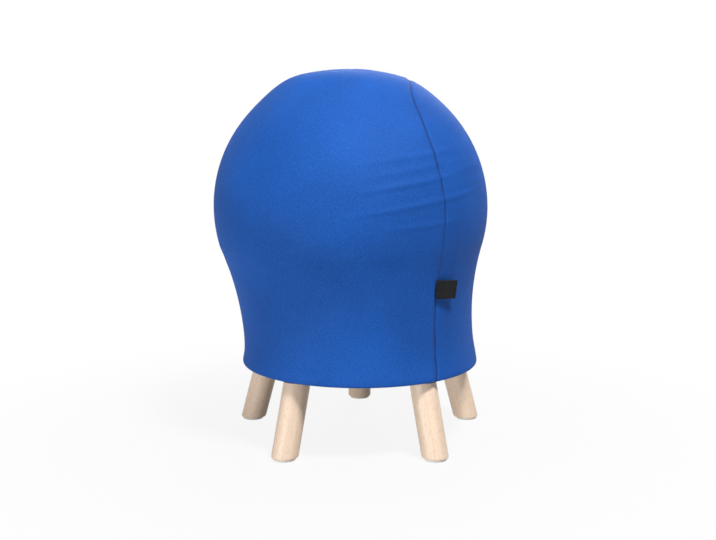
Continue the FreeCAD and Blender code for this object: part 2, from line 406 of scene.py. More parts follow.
class Finish(NodeMaker):
    """A procedural material that is put together node by node."""

    def __init__(self, name, roughness, **settings):
        self.material = bpy.data.materials.new(name)
        self.material.use_nodes = True
        super().__init__(self.material.node_tree)
        self.shader = self.tree.nodes["Principled BSDF"]
        self.shader.inputs["Roughness"].default_value = roughness
        for socket, value in settings.items():
            self.shader.inputs[socket.replace("_", " ")].default_value = value

    def done(self, **patterns):
        """Join patterns to the shader and give the material."""
        for socket, value in patterns.items():
            self.put(self.shader.inputs[socket.replace("_", " ")], value)
        return self.material

    def blend(self, share, first, second):
        """Mix two colours."""
        made = self.node("ShaderNodeMix", {"data_type": "RGBA"})
        self.put(made.inputs[0], share)
        self.put(made.inputs[6], first)
        self.put(made.inputs[7], second)
        return made.outputs[2]

    def spread(self, value, low, high, to_low=0.0, to_high=1.0):
        """Stretch a value from one range to another, and clamp it."""
        made = self.node(
            "ShaderNodeMapRange", Value=value, From_Min=low, From_Max=high, To_Min=to_low, To_Max=to_high
        )
        return made.outputs[0]

    def stretched(self, place, scale):
        """Coordinates stretched along each axis."""
        return self.node("ShaderNodeMapping", Vector=place, Scale=scale).outputs[0]

    def place(self, scale=(1.0, 1.0, 1.0)):
        """Object coordinates, stretched."""
        return self.stretched(self.node("ShaderNodeTexCoord").outputs["Object"], scale)

    def noise(self, place, scale, detail=3.0, roughness=0.55):
        """Soft random pattern from 0 to 1."""
        made = self.node("ShaderNodeTexNoise", Vector=place, Scale=scale, Detail=detail, Roughness=roughness)
        return made.outputs[0]

    def attribute(self, name, output="Fac"):
        """A value stored on the mesh."""
        return self.node("ShaderNodeAttribute", {"attribute_name": name}).outputs[output]

    def bump(self, height, distance, strength=1.0, normal=None):
        """Small relief."""
        made = self.node("ShaderNodeBump", Height=height, Distance=distance, Strength=strength)
        if normal is not None:
            self.put(made.inputs["Normal"], normal)
        return made.outputs[0]


def colour(value):
    """A property's colour as four numbers."""
    return (*value[:3], 1.0)


def changed(tone, share, more=0.0):
    """A colour made darker or paler."""
    return [min(1.0, part * share + more) for part in tone[:3]] + [1.0]


def knit_finish(cover):
    """Blue stretch knit: loops in columns, mottled thread, a slight sheen, a sunken seam and painted shade in
    its fold.
    """
    finish = Finish("cover_fabric", 0.68, Sheen_Weight=0.02, Sheen_Roughness=0.5, Specular_IOR_Level=0.18)
    finish.shader.inputs["Sheen Tint"].default_value = (0.35, 0.55, 1.0, 1.0)
    place = finish.place()
    loop_width = 0.00125
    loop_height = 0.00095

    def loops(across, along):
        column = finish.sum("MULTIPLY", across, math.pi / loop_width)
        column = finish.sum("ABSOLUTE", finish.sum("SINE", column))
        row = finish.sum("MULTIPLY", along, 2.0 * math.pi / loop_height)
        row = finish.sum("SINE", finish.sum("MULTIPLY_ADD", column, 2.2, row))
        return finish.sum("MULTIPLY_ADD", row, 0.22, finish.sum("MULTIPLY", column, 0.55))

    # On the side the loops follow the cloth's own coordinates, near the pole the level ones
    flat = finish.node("ShaderNodeSeparateXYZ", Vector=place)
    side = finish.node("ShaderNodeSeparateXYZ", Vector=finish.attribute("knit", "Vector"))
    on_side = loops(side.outputs[0], side.outputs[1])
    on_top = loops(flat.outputs[0], flat.outputs[1])
    knit = finish.node("ShaderNodeMix", {"data_type": "FLOAT"})
    for socket, value in zip((0, 2, 3), (finish.attribute("top_share"), on_side, on_top)):
        finish.put(knit.inputs[socket], value)
    knit = knit.outputs[0]

    thread = finish.noise(place, 1400.0, 2.0, 0.6)
    mottle = finish.noise(place, 620.0, 3.0, 0.62)
    patch = finish.noise(place, 9.0, 2.0, 0.5)
    shade = finish.sum("MULTIPLY_ADD", thread, 0.55, finish.sum("MULTIPLY", mottle, 0.9))
    shade = finish.sum("MULTIPLY_ADD", patch, 0.30, shade)
    shade = finish.spread(finish.sum("MULTIPLY_ADD", knit, 0.35, shade), 0.72, 1.22)
    base = finish.blend(shade, colour(cover.dark_thread), colour(cover.thread))

    # Painted shade: a near-black line along the seam, darker where the seam sinks deeper, stands for the shadow
    # in its fold; the groove bump below is real relief
    wander = finish.sum("MULTIPLY_ADD", finish.noise(place, 260.0, 2.0), 0.0008, -0.0004)
    distance = finish.sum("ADD", finish.attribute("seam_distance"), wander)
    distance = finish.sum("ABSOLUTE", distance)
    line = finish.spread(distance, 0.0005, 0.0020, 1.0, 0.0)
    line = finish.sum("MULTIPLY", line, finish.attribute("seam_strength"))
    base = finish.blend(line, base, (0.003, 0.014, 0.08, 1.0))

    relief = finish.bump(knit, 0.00028, 0.8)
    relief = finish.bump(finish.sum("MULTIPLY_ADD", thread, 0.5, mottle), 0.00035, 0.7, relief)
    groove = finish.spread(distance, 0.0, 0.0022, 0.0, 1.0)
    return finish.done(Base_Color=base, Normal=finish.bump(groove, 0.0010, 0.9, relief))


def thread_finish(name, tone):
    """Sewing thread with a fine twist."""
    finish = Finish(name, 0.7, Sheen_Weight=0.2)
    twist = finish.noise(finish.place(), 2600.0, 2.0)
    base = finish.blend(twist, changed(tone, 0.6), tone)
    return finish.done(Base_Color=base, Normal=finish.bump(twist, 0.0001, 0.6))


def beech_finish(legs):
    """Pale beech: long soft figure, short dark flecks, darker end grain and a thin clear lacquer."""
    finish = Finish("beech", 0.46, Coat_Weight=0.12, Coat_Roughness=0.35, Specular_IOR_Level=0.4)

    # Each leg reads another part of the same wood
    number = finish.attribute("leg_number")
    shift = finish.node("ShaderNodeCombineXYZ")
    for axis, step in enumerate((0.37, 0.21, 1.93)):
        finish.put(shift.inputs[axis], finish.sum("MULTIPLY", number, step))
    shift = shift.outputs[0]
    local = finish.attribute("along_leg", "Vector")
    place = finish.node("ShaderNodeVectorMath", {"operation": "ADD"}, i0=local, i1=shift).outputs[0]

    along = finish.stretched(place, (1.0, 1.0, 0.075))
    figure = finish.noise(along, 95.0, 4.0, 0.6)
    fine = finish.noise(finish.stretched(place, (1.0, 1.0, 0.02)), 900.0, 2.0)
    bands = finish.node(
        "ShaderNodeTexWave", {"wave_type": "BANDS", "bands_direction": "X"},
        Vector=along, Scale=60.0, Distortion=5.0, Detail=2.0, Detail_Scale=0.8,
    ).outputs[1]
    fleck_place = finish.stretched(place, (1.0, 1.0, 0.18))
    fleck = finish.node("ShaderNodeTexVoronoi", Vector=fleck_place, Scale=520.0).outputs[0]
    fleck = finish.spread(fleck, 0.14, 0.34, 1.0, 0.0)

    share = finish.sum("MULTIPLY_ADD", figure, 0.50, finish.sum("MULTIPLY", bands, 0.10))
    share = finish.sum("MULTIPLY_ADD", fine, 0.32, share)
    tint = finish.blend(finish.spread(share, 0.30, 0.88), colour(legs.wood), colour(legs.grain))
    tint = finish.blend(finish.sum("MULTIPLY", fleck, 0.42), tint, (0.46, 0.31, 0.20, 1.0))
    tone = finish.spread(finish.noise(shift, 3.0, 0.0), 0.3, 0.7, 0.90, 1.06)
    tint = finish.node("ShaderNodeHueSaturation", Color=tint, Value=tone).outputs[0]
    end = finish.sum("MULTIPLY", finish.attribute("end_grain"), 0.6)
    return finish.done(
        Base_Color=finish.blend(end, tint, (0.56, 0.42, 0.29, 1.0)),
        Normal=finish.bump(finish.sum("ADD", fine, fleck), 0.00012, 0.5),
        Roughness=finish.spread(fine, 0.3, 0.7, 0.40, 0.56),
    )


def label_finish(label):
    """Black damask weave with fine ribs."""
    finish = Finish("label_weave", 0.70, Sheen_Weight=0.03, Sheen_Roughness=0.5, Specular_IOR_Level=0.15)
    warp_pitch = 0.0005
    weft_pitch = 0.0009
    local = finish.node("ShaderNodeSeparateXYZ", Vector=finish.attribute("weave", "Vector"))
    warp = finish.sum("SINE", finish.sum("MULTIPLY", local.outputs[0], 2.0 * math.pi / warp_pitch))
    weft = finish.sum("SINE", finish.sum("MULTIPLY", local.outputs[1], 2.0 * math.pi / weft_pitch))
    weave = finish.sum("MULTIPLY_ADD", finish.sum("MULTIPLY", warp, weft), 0.5, 0.5)
    lint = finish.noise(finish.place(), 700.0, 3.0)
    share = finish.sum("MULTIPLY_ADD", lint, 0.5, finish.sum("MULTIPLY", weave, 0.4))
    base = finish.blend(share, colour(label.weave), changed(label.weave, 1.7, 0.002))
    return finish.done(Base_Color=base, Normal=finish.bump(weave, 0.00012, 0.8))


def moulded_finish(name, tone, roughness, spark=0.25, scale=2200.0):
    """Moulded plastic: fine spark texture, slow changes of gloss and slightly paler rubbed places."""
    finish = Finish(name, roughness, Specular_IOR_Level=0.45)
    place = finish.place()
    grain = finish.noise(place, scale, 2.0, 0.6)
    cloud = finish.noise(place, 14.0, 3.0, 0.5)
    rubbed = finish.spread(finish.sum("MULTIPLY_ADD", grain, 0.3, cloud), 0.45, 1.0)
    return finish.done(
        Base_Color=finish.blend(finish.sum("MULTIPLY", rubbed, 0.5), tone, changed(tone, 1.5, 0.004)),
        Roughness=finish.spread(cloud, 0.3, 0.7, roughness - 0.06, roughness + 0.08),
        Normal=finish.bump(grain, 0.0002, spark),
    )


def metal_finish(name, tone, roughness, brushed):
    """Plated or turned metal with fine marks and a little tarnish."""
    finish = Finish(name, roughness, Metallic=1.0)
    marks = finish.noise(finish.place((1.0, 1.0, brushed)), 1500.0, 3.0, 0.6)
    tarnish = finish.noise(finish.place(), 120.0, 3.0, 0.5)
    return finish.done(
        Base_Color=finish.blend(finish.spread(tarnish, 0.45, 0.8), tone, changed(tone, 0.62)),
        Roughness=finish.spread(marks, 0.2, 0.8, roughness - 0.08, roughness + 0.14),
        Normal=finish.bump(marks, 0.0001, 0.3),
    )


def elastic_finish():
    """Black braided elastic."""
    finish = Finish("elastic", 0.75, Sheen_Weight=0.2)
    place = finish.place()
    braid = finish.node(
        "ShaderNodeTexWave", {"wave_type": "RINGS", "rings_direction": "Z"},
        Vector=place, Scale=320.0, Distortion=0.6,
    ).outputs[1]
    lint = finish.noise(place, 900.0, 3.0)
    share = finish.sum("MULTIPLY_ADD", lint, 0.5, finish.sum("MULTIPLY", braid, 0.4))
    base = finish.blend(share, (0.012, 0.012, 0.012, 1.0), (0.045, 0.045, 0.048, 1.0))
    return finish.done(Base_Color=base, Normal=finish.bump(braid, 0.0002, 0.7))


# Shape of the cover


def fabric_radius(cover, height):
    """Radius of the fabric below the ball: an arc that meets the ball above the waist, a flare below."""
    waist_height = hem_height + cover.hem_corner + waist_rise
    drop = ball_centre_height - join_height
    join_radius = math.sqrt(cover_radius**2 - drop**2)
    rise = join_height - waist_height
    growth = join_radius - cover.waist_radius
    sweep_radius = (rise**2 + growth**2) / (2.0 * growth)
    height = np.asarray(height, float)
    radius = np.where(height > waist_height, sweep_radius, cover.flare_radius)
    return cover.waist_radius + radius - np.sqrt(radius**2 - (height - waist_height) ** 2)


def fabric_middle(cover, height):
    """Where the fabric's middle lies at a height, moving from the base's axis to the ball's."""
    start = hem_height + cover.hem_corner + lean_rise
    share = np.clip((np.asarray(height, float) - start) / (join_height - start), 0.0, 1.0)
    return base_shift * (1.0 - share)


def dome_swell(angle, level_radius):
    """How far the dome stands off a sphere: fuller shoulders, most on the left, and a flatter top."""
    shoulder = shoulder_swell - shoulder_slant * np.sin(angle)
    ring = np.exp(-(((level_radius - shoulder_radius) / shoulder_width) ** 2))
    return shoulder * ring - top_flatness * np.exp(-((level_radius / top_width) ** 2))


def side_points(cover, angle, height):
    """Points of the undisturbed cover below the dome, at a height."""
    out = fabric_radius(cover, height)
    x = fabric_middle(cover, height) + out * np.sin(angle)
    return np.stack(np.broadcast_arrays(x, -out * np.cos(angle), height), axis=-1)


def dome_points(angle, elevation):
    """Points of the undisturbed dome, at an elevation seen from the ball's middle."""
    radius = cover_radius + dome_swell(angle, cover_radius * np.cos(elevation))
    out = radius * np.cos(elevation)
    height = ball_centre_height + radius * np.sin(elevation)
    return np.stack(np.broadcast_arrays(out * np.sin(angle), -out * np.cos(angle), height), axis=-1)


def cover_rows(cover):
    """The grid's rows from inside the hem to the top: kind, inset, height or elevation, part."""
    rim = hem_height + cover.hem_corner
    rows = [("hem", inset, hem_height + height, 0) for inset, height in hem_turn_in]
    for step in range(hem_edge_steps + 1):
        turn = 0.5 * math.pi * step / hem_edge_steps
        inset = cover.hem_edge * (1.0 - math.sin(turn))
        rows.append(("hem", inset, hem_height + cover.hem_edge * (1.0 - math.cos(turn)), 0))
    for height in np.linspace(rim, lower_top_height, skirt_rows + 1):
        rows.append(("side", 0.0, float(height), 0))
    for height in np.linspace(lower_top_height, join_height, waist_rows + 1)[1:]:
        rows.append(("side", 0.0, float(height), 1))
    lowest = math.asin((join_height - ball_centre_height) / cover_radius)
    for elevation in np.linspace(lowest, 0.5 * math.pi, dome_rows + 1)[1:-1]:
        rows.append(("dome", 0.0, float(elevation), 2))
    return rows


def smooth_curve(values, samples):
    """A curve through the values, which are one apart, read at each sample."""
    padded = np.concatenate([[2 * values[0] - values[1]], values, [2 * values[-1] - values[-2]]])
    index = np.clip(samples.astype(int), 0, len(values) - 2)
    part = samples - index
    a, b, c, d = (padded[index + step] for step in range(4))
    bend = (2 * a - 5 * b + 4 * c - d) * part**2 + (3 * b - a - 3 * c + d) * part**3
    return 0.5 * (2 * b + (c - a) * part + bend)


def seam_points(cover, spacing=0.002, sample_count=1200):
    """The seam as close points on the undisturbed cover."""
    route = np.array(seam_route)
    samples = np.linspace(0, len(route) - 1, sample_count)
    points = []
    for turn, level in zip(smooth_curve(np.radians(route[:, 0]), samples), smooth_curve(route[:, 1], samples)):
        if level < join_height:
            points.append(side_points(cover, turn, max(level, hem_height + cover.hem_corner)))
        else:
            points.append(dome_points(turn, math.asin(min(1.0, (level - ball_centre_height) / cover_radius))))
    points = np.array(points)
    steps = np.linalg.norm(np.diff(points, axis=0), axis=1)
    length = np.concatenate([[0.0], np.cumsum(steps)])
    keep = np.concatenate([[True], steps > 1e-7])
    even = np.arange(0.0, length[-1], spacing)
    return np.stack([np.interp(even, length[keep], points[keep, axis]) for axis in range(3)], axis=-1)


def seam_strength(points):
    """How deep the seam pulls in: shallow from the label up to the widest part, deep above and below."""
    height = points[..., 2]
    above = smooth_step(0.345, 0.395, height)
    below = 1.0 - smooth_step(0.225, 0.262, height)
    return 0.45 + 0.55 * np.maximum(above, below)


def seam_offsets(points, normals, seam):
    """Each point's distance from the seam, negative on its left, and the nearest seam point."""
    flat = points.reshape(-1, 3)
    nearest = np.empty(len(flat))
    index = np.empty(len(flat), int)
    chunk = 4000
    for start in range(0, len(flat), chunk):
        part = flat[start : start + chunk]
        gap = ((part[:, None, :] - seam[None, :, :]) ** 2).sum(axis=2)
        best = gap.argmin(axis=1)
        index[start : start + chunk] = best
        nearest[start : start + chunk] = np.sqrt(gap[np.arange(len(part)), best])
    tangent = np.gradient(seam, axis=0)
    tangent /= np.linalg.norm(tangent, axis=1)[:, None]
    offset = flat - seam[index]
    along = (offset * tangent[index]).sum(axis=1)
    distance = np.sqrt(np.maximum(nearest**2 - along**2, 0.0))
    side = (np.cross(tangent[index], normals.reshape(-1, 3)) * offset).sum(axis=1)
    signed = np.where(side < 0.0, -distance, distance)
    return signed.reshape(points.shape[:2]), index.reshape(points.shape[:2])


def relief(cover, points, normals, angles, seam):
    """Moves the cover's points for its seam, its pull creases and its slight unevenness."""
    signed, index = seam_offsets(points, normals, seam)
    distance = np.abs(signed)
    strength = seam_strength(seam)[index]

    # The seam sinks in, and the cloth bulges a little on both sides, more on its left
    groove_width = 0.0038
    bulge_place = 0.0075
    bulge_width = 0.0035
    bulge_height = 0.0005
    left = np.exp(-(((signed + bulge_place) / bulge_width) ** 2))
    right = np.exp(-(((signed - bulge_place) / bulge_width) ** 2))
    move = -cover.seam_depth * strength * np.exp(-((distance / groove_width) ** 2))
    move += bulge_height * strength * (left + 0.5 * right)

    height = points[..., 2]
    for middle, level, slope, length, width, depth in pull_creases:
        away = (angles - math.radians(middle) + math.pi) % (2.0 * math.pi) - math.pi
        across = away * crease_circle_radius
        rise = height - level - slope * across
        fade = np.exp(-((across / (0.5 * length)) ** 4))
        move += depth * fade * np.exp(-((rise / width) ** 2))

    unevenness = 0.00022
    slow = np.sin(3.0 * angles + 9.0 * height) * np.sin(21.0 * height + 1.0)
    slow += 0.6 * np.sin(7.0 * angles - 26.0 * height)
    move += unevenness * slow * smooth_step(hem_height, hem_height + 0.03, height)
    return points + normals * move[..., None], distance, strength


def grid_normals(points, pole):
    """Outward directions of the cover's grid, whose last row closes at the pole."""
    round_step = np.roll(points, -1, axis=1) - np.roll(points, 1, axis=1)
    up_step = np.gradient(points, axis=0)
    up_step[-1] = pole - points[-2]
    normal = np.cross(round_step, up_step)
    return normal / np.linalg.norm(normal, axis=2)[..., None]


def cover_parts(cover):
    """Each part of the cover: name, CAD node, body below, body above, where its blend starts, ends."""
    rim = hem_height + cover.hem_corner
    return (
        ("skirt", "cover_lower", "base", "lower_cover", rim, lower_top_height),
        ("waist", "cover_middle", "lower_cover", "middle_cover", lower_top_height, join_height),
        ("dome", "cover_top", "middle_cover", "seat", join_height, ball_centre_height + cover_radius),
    )


def make_cover(settings):
    """The whole cover as one grid, cut into three pieces."""
    cover = settings.stool_cover
    columns = cover.columns
    angles = np.arange(columns) * 2.0 * math.pi / columns
    rows = cover_rows(cover)
    grid = []
    for kind, inset, value, _ in rows:
        if kind == "dome":
            grid.append(dome_points(angles, value))
            continue
        line = side_points(cover, angles, max(value, hem_height + cover.hem_corner))
        if kind == "hem":
            line[:, 0] -= inset * np.sin(angles)
            line[:, 1] += inset * np.cos(angles)
            line[:, 2] = value
        grid.append(line)
    grid = np.array(grid)
    pole = np.array([0.0, 0.0, ball_centre_height + cover_radius + float(dome_swell(0.0, 0.0))])
    pole_to_seam = 0.09
    seam = seam_points(cover)
    grid, distance, strength = relief(cover, grid, grid_normals(grid, pole), angles, seam)
    normals = grid_normals(grid, pole)
    run = np.concatenate([[0.0], np.cumsum(np.linalg.norm(np.diff(grid[:, 0], axis=0), axis=1))])

    fabric = knit_finish(cover)
    part_of_row = np.array([row[3] for row in rows])
    for number, (part, node, below, above, low, high) in enumerate(cover_parts(cover)):
        inside = np.flatnonzero(part_of_row == number)
        here = slice(max(inside[0] - 1, 0), inside[-1] + 1)
        count = here.stop - here.start
        points = grid[here].reshape(-1, 3)
        outward = normals[here].reshape(-1, 3)
        marks = [distance[here].ravel(), strength[here].ravel()]
        faces = ring_faces(columns, count)
        if part == "dome":
            faces += fan_faces(columns, (count - 1) * columns, len(points))
            points = np.vstack([points, pole])
            outward = np.vstack([outward, (0.0, 0.0, 1.0)])
            marks = [np.append(marks[0], pole_to_seam), np.append(marks[1], 0.0)]
        mesh = mesh_from("cover_" + part, points, faces, outward)
        level = np.hypot(points[:, 0], points[:, 1])
        elevation = np.degrees(np.arctan2(points[:, 2] - ball_centre_height, level))
        add_point_values(mesh, "seam_distance", marks[0])
        add_point_values(mesh, "seam_strength", marks[1])
        add_point_values(mesh, "top_share", smooth_step(48.0, 62.0, elevation))
        store_knit_map(mesh, run[here], columns, count)
        made = new_object("cover_" + part, mesh)
        mesh.materials.append(fabric)
        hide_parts(node)
        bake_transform(made)
    return seam


def store_knit_map(mesh, run, columns, count):
    """Cloth coordinates in metres: round the cover and up it, kept unbroken at the last column."""
    loop_points = np.empty(len(mesh.loops), int)
    mesh.loops.foreach_get("vertex_index", loop_points)
    totals = np.empty(len(mesh.polygons), int)
    mesh.polygons.foreach_get("loop_total", totals)
    column_of_face = np.repeat(np.arange(len(totals)), totals) % columns
    column = loop_points % columns
    row = np.minimum(loop_points // columns, count - 1)
    wrapped = (column == 0) & (column_of_face == columns - 1)
    column = np.where(wrapped, columns, column)
    at_pole = loop_points >= count * columns
    column = np.where(at_pole, column_of_face + 0.5, column)
    values = np.zeros((len(loop_points), 3), np.float32)
    values[:, 0] = column / columns * cloth_girth
    values[:, 1] = run[row]
    knit = mesh.attributes.new("knit", "FLOAT_VECTOR", "CORNER")
    knit.data.foreach_set("vector", values.ravel())
    share = np.stack([column / columns, run[row] / cloth_height], axis=-1).astype(np.float32)
    mesh.uv_layers.new(name="cloth").data.foreach_set("uv", share.ravel())


# Node trees for what repeats


class Builder(NodeMaker):
    """A Geometry Nodes tree with named inputs."""

    def __init__(self, name):
        super().__init__(bpy.data.node_groups.new(name, "GeometryNodeTree"))
        for way in ("INPUT", "OUTPUT"):
            self.tree.interface.new_socket("Geometry", in_out=way, socket_type="NodeSocketGeometry")
        self.keys = {}

    def add_input(self, name, kind, default=None):
        """A named size of the tree."""
        socket = self.tree.interface.new_socket(name, in_out="INPUT", socket_type=kind)
        if default is not None:
            socket.default_value = default
        self.keys[name] = socket.identifier

    def begin(self):
        """Place the group's input once all its sockets exist."""
        return self.node("NodeGroupInput").outputs

    def end(self, geometry, material):
        """Close the tree with real geometry and its material."""
        real = self.node("GeometryNodeRealizeInstances", Geometry=geometry)
        dressed = self.node("GeometryNodeSetMaterial", Geometry=real.outputs[0], Material=material)
        self.node("NodeGroupOutput", Geometry=dressed.outputs[0])

    def apply(self, made, **values):
        """Run the tree on an object and keep the result as a plain mesh."""
        modifier = made.modifiers.new(self.tree.name, "NODES")
        modifier.node_group = self.tree
        for name, value in values.items():
            modifier[self.keys[name.replace("_", " ")]] = value
        bpy.context.view_layer.update()
        graph = bpy.context.evaluated_depsgraph_get()
        result = bpy.data.meshes.new_from_object(made.evaluated_get(graph))
        made.modifiers.remove(modifier)
        made.data = result


def stitch_tree(thread):
    """Short threads laid along a path."""
    tree = Builder("stitches")
    tree.add_input("Pitch", "NodeSocketFloat", 0.0032)
    tree.add_input("Thread", "NodeSocketFloat", 0.0004)
    source = tree.begin()
    path = tree.node("GeometryNodeMeshToCurve", Mesh=source["Geometry"]).outputs[0]
    even = tree.node("GeometryNodeResampleCurve", {"mode": "LENGTH"}, Curve=path, Length=source["Pitch"])
    half = tree.sum("MULTIPLY", source["Pitch"], 0.36)
    ball = tree.node("GeometryNodeMeshUVSphere", Segments=6, Rings=4, Radius=1.0).outputs[0]
    size = tree.node("ShaderNodeCombineXYZ", X=source["Thread"], Y=source["Thread"], Z=half).outputs[0]
    stitch = tree.node("GeometryNodeTransform", Geometry=ball, Scale=size).outputs[0]
    tangent = tree.node("GeometryNodeInputTangent").outputs[0]
    turn = tree.node("FunctionNodeAlignRotationToVector", {"axis": "Z"}, Vector=tangent).outputs[0]
    laid = tree.node(
        "GeometryNodeInstanceOnPoints", Points=even.outputs[0], Instance=stitch, Rotation=turn
    )
    tree.end(laid.outputs[0], thread)
    return tree


def leg_tree(wood):
    """One leg repeated round an upright axis."""
    tree = Builder("legs_round_axis")
    tree.add_input("Count", "NodeSocketInt", 5)
    tree.add_input("First angle", "NodeSocketFloat", 0.6)
    tree.add_input("Axis", "NodeSocketVector")
    source = tree.begin()
    points = tree.node("GeometryNodePoints", Count=source["Count"], Position=source["Axis"]).outputs[0]
    number = tree.node("GeometryNodeInputIndex").outputs[0]
    step = tree.sum("DIVIDE", 2.0 * math.pi, source["Count"])
    angle = tree.sum("MULTIPLY_ADD", number, step, source["First angle"])
    turn = tree.node("ShaderNodeCombineXYZ", Z=angle).outputs[0]
    laid = tree.node(
        "GeometryNodeInstanceOnPoints", Points=points, Instance=source["Geometry"], Rotation=turn
    )
    mark = tree.node(
        "GeometryNodeStoreNamedAttribute", {"data_type": "FLOAT", "domain": "INSTANCE"},
        Geometry=laid.outputs[0], Name="leg_number", Value=number,
    )
    tree.end(mark.outputs[0], wood)
    return tree


# Pieces


def lay_stitches(settings, seam):
    """Thread in the seam, one piece for each part of the cover that it crosses."""
    cover = settings.stool_cover
    tree = stitch_tree(thread_finish("seam_thread", (0.012, 0.055, 0.30, 1.0)))
    thread_radius = 0.00042
    thread_stand = 0.0001
    end_room = 0.001
    out = seam - np.array([0.0, 0.0, ball_centre_height])
    below_ball = seam[:, 2] < join_height
    out[below_ball, 2] = 0.0
    out[below_ball, 0] -= fabric_middle(cover, seam[below_ball, 2])
    out /= np.linalg.norm(out, axis=1)[:, None]
    sunk = seam - out * (cover.seam_depth * seam_strength(seam) - thread_stand)[:, None]
    limits = (hem_height, lower_top_height, join_height, math.inf)
    for (part, _, below, above, start, end), low, high in zip(cover_parts(cover), limits, limits[1:]):
        inside = (sunk[:, 2] >= low + end_room) & (sunk[:, 2] < high - end_room)
        index = np.flatnonzero(inside)
        edges = [(place, place + 1) for place in range(len(index) - 1) if index[place + 1] == index[place] + 1]
        mesh = bpy.data.meshes.new("seam_stitches_" + part)
        mesh.from_pydata([tuple(point) for point in sunk[index]], edges, [])
        made = new_object("seam_stitches_" + part, mesh)
        tree.apply(made, Pitch=cover.stitch_pitch, Thread=thread_radius)
        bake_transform(made)


def make_leg_mesh(legs):
    """One leg before it is repeated: its foot is cut level and rounded, its top is square."""
    radius = 0.5 * legs.diameter
    axis = Vector((0.0, math.sin(legs.splay), math.cos(legs.splay)))
    across = Vector((1.0, 0.0, 0.0))
    other = axis.cross(across)
    foot = Vector((0.0, -legs.foot_radius, 0.0))
    length = leg_top_height / math.cos(legs.splay)
    sides = 64
    body_steps = 10
    # Rings of the foot's rounded edge: rise and radius as shares, and how much is end grain
    foot_rings = (
        (0.0, 0.30, 1.0), (0.0, 0.70, 1.0), (0.0, 0.86, 1.0), (0.10, 0.93, 0.7),
        (0.33, 0.975, 0.3), (0.70, 0.996, 0.0), (1.15, 1.0, 0.0),
    )
    points, ends = [], []

    def add_ring(share, end, level, part=0.0):
        """Points round the leg at a level, or part of the way from there to its square top."""
        for side in round_points(Vector(), across, other, radius * share, sides):
            start = (level - side.z) / axis.z
            points.append(foot + side + axis * (start + (length - start) * part))
            ends.append(end)

    for rise, share, end in foot_rings:
        body_level = leg_bottom + legs.edge * rise
        add_ring(share, end, body_level)
    for step in range(1, body_steps + 1):
        add_ring(1.0, 0.0, body_level, step / body_steps)
    for share in (0.96, 0.5):
        add_ring(share, 1.0, body_level, 1.0)
    mesh = mesh_from("leg", points, closed_ring_faces(sides, len(points) // sides))
    local = [[(point - foot).dot(way) for way in (across, other, axis)] for point in points]
    add_point_values(mesh, "along_leg", local)
    add_point_values(mesh, "end_grain", ends)
    return mesh


def make_legs(settings):
    """Five legs from one."""
    legs = settings.stool_legs
    made = new_object("legs", make_leg_mesh(legs))
    turn_faces_out(made.data)
    leg_tree(beech_finish(legs)).apply(
        made, Count=legs.count, First_angle=legs.first_angle, Axis=(base_shift, 0.0, 0.0)
    )
    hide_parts(*leg_nodes)
    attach(made, "base")


def make_label(settings):
    """A folded woven strip caught in the seam, its fold at the free edge."""
    label = settings.stool_label
    cover = settings.stool_cover
    low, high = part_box("label_tab")
    middle_height = 0.5 * (low[2] + high[2]) + 0.001
    turn = math.radians(38.0)
    bottom = Vector(side_points(cover, turn, middle_height - 0.5 * label.height))
    top = Vector(side_points(cover, turn, middle_height + 0.5 * label.height))
    along = heading(turn + 0.5 * math.pi - label.tilt)
    rise = (top - bottom).normalized()
    outward = along.cross(rise).normalized()
    half_thickness = 0.00045
    off_fabric = 0.0016
    from_seam = 0.0005
    columns, rows, fold_steps = 36, 16, 6

    # The strip's section: out along one side, round the fold and back along the other
    outline = [(step / columns, 1.0) for step in range(columns + 1)]
    for step in range(1, fold_steps):
        bend = math.pi * step / fold_steps
        outline.append((1.0 + half_thickness / label.width * math.sin(bend), math.cos(bend)))
    outline += [(step / columns, -1.0) for step in range(columns, -1, -1)]

    points, local = [], []
    for row in range(rows + 1):
        level = row / rows
        for share, side in outline:
            curl = 0.0022 * share**2 * (level - 0.35) + 0.0007 * math.sin(5.0 * share)
            puff = 1.0 + 0.25 * math.sin(9.0 * level + 4.0 * share)
            lift = half_thickness * side * (0.55 + 0.45 * min(1.0, share * 3.0)) * puff
            drop = -math.tan(label.droop) * share * label.width
            place = bottom + along * (label.width * share + from_seam) + rise * (label.height * level + drop)
            points.append(place + outward * (off_fabric + curl + lift))
            local.append((share * label.width, level * label.height, side))
    mesh = mesh_from("label", points, closed_ring_faces(len(outline), rows + 1))
    add_point_values(mesh, "weave", local)
    turn_faces_out(mesh)
    mesh.materials.append(label_finish(label))
    made = new_object("label", mesh)
    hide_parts("label_tab")
    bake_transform(made)


